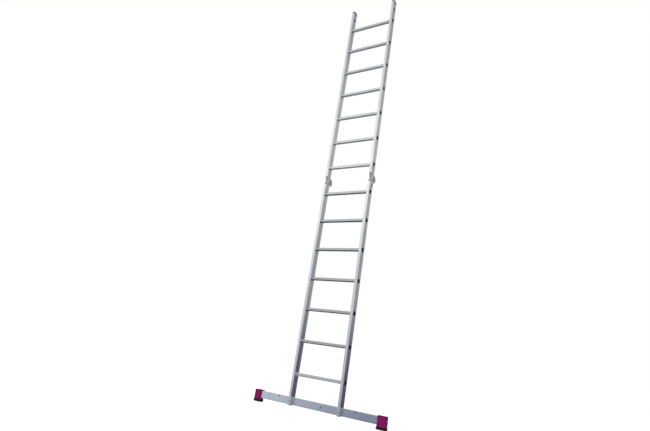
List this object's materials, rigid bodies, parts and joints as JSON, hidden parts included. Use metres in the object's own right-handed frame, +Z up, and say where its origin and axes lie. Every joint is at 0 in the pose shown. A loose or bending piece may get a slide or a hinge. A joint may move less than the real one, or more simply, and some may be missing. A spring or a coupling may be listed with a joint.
{
  "type": "hinged ladder",
  "caption": "Hinged folding aluminium ladder with ribbed square rungs, round locking hinges half way up, and a wide stabiliser bar with coloured end caps and rubber feet.",
  "frame": {"origin": "on the floor under the feet, at mid-width, half way between the front-most and rear-most faces", "axes": "+Z up along the stiles, +X to the right of a person who faces the climbing side, +Y to the rear"},
  "size_m": [1.2744, 0.114, 4.181],
  "materials": {
    "stile_aluminium": "extruded, satin",
    "rung_aluminium": "extruded, ribbed, satin",
    "bar_aluminium": "extruded, satin",
    "cap_plastic": "moulded, fine grain",
    "foot_rubber": "matt",
    "plug_plastic": "moulded",
    "block_aluminium": "sawn",
    "hinge_steel": "zinc plated",
    "fastener_steel": "zinc plated",
    "lock_steel": "phosphated",
    "spring_steel": "drawn wire"
  },
  "bodies": {
    "lower_section": {"bar_bolt_spacers": "block_aluminium", "bar_bolts": "fastener_steel", "bar_sleeve_nuts": "fastener_steel", "base_bar": "bar_aluminium", "left_bar_cap": "cap_plastic", "left_foot": "foot_rubber", "left_hinge_block": "block_aluminium", "left_hinge_inner_cheek": "hinge_steel", "left_hinge_outer_cheek": "hinge_steel", "left_hinge_pin": "fastener_steel", "left_lock_pin": "fastener_steel", "left_lock_spring": "spring_steel", "lower_hinge_rivets": "fastener_steel", "lower_left_stile": "stile_aluminium", "lower_right_stile": "stile_aluminium", "lower_rung_1": "rung_aluminium", "lower_rung_2": "rung_aluminium", "lower_rung_3": "rung_aluminium", "lower_rung_4": "rung_aluminium", "lower_rung_5": "rung_aluminium", "lower_rung_6": "rung_aluminium", "lower_rung_7": "rung_aluminium", "right_bar_cap": "cap_plastic", "right_foot": "foot_rubber", "right_hinge_block": "block_aluminium", "right_hinge_inner_cheek": "hinge_steel", "right_hinge_outer_cheek": "hinge_steel", "right_hinge_pin": "fastener_steel", "right_lock_pin": "fastener_steel", "right_lock_spring": "spring_steel"},
    "upper_section": {"left_hinge_tongue": "hinge_steel", "left_top_plug": "plug_plastic", "right_hinge_tongue": "hinge_steel", "right_top_plug": "plug_plastic", "upper_hinge_rivets": "fastener_steel", "upper_left_stile": "stile_aluminium", "upper_right_stile": "stile_aluminium", "upper_rung_1": "rung_aluminium", "upper_rung_2": "rung_aluminium", "upper_rung_3": "rung_aluminium", "upper_rung_4": "rung_aluminium", "upper_rung_5": "rung_aluminium", "upper_rung_6": "rung_aluminium", "upper_rung_7": "rung_aluminium"},
    "left_lock": {"left_lock_pawl": "lock_steel"},
    "right_lock": {"right_lock_pawl": "lock_steel"}
  },
  "joints": [
    {"name": "fold", "type": "hinge", "parent": "lower_section", "child": "upper_section", "pos_m": [0, 0.018, 2.103], "axis": [-1, 0, 0], "range_deg": [0, 180]},
    {"name": "left_lock", "type": "hinge", "parent": "lower_section", "child": "left_lock", "pos_m": [-0.2375, -0.02701, 2.08692], "axis": [1, 0, 0], "range_deg": [0, 8.5], "stiffness_Nm_per_rad": 1.1, "springref_deg": 17.19, "deforming": ["left_lock_spring"]},
    {"name": "right_lock", "type": "hinge", "parent": "lower_section", "child": "right_lock", "pos_m": [0.2375, -0.02701, 2.08692], "axis": [1, 0, 0], "range_deg": [0, 8.5], "stiffness_Nm_per_rad": 1.1, "springref_deg": 17.19, "deforming": ["right_lock_spring"]}
  ]
}
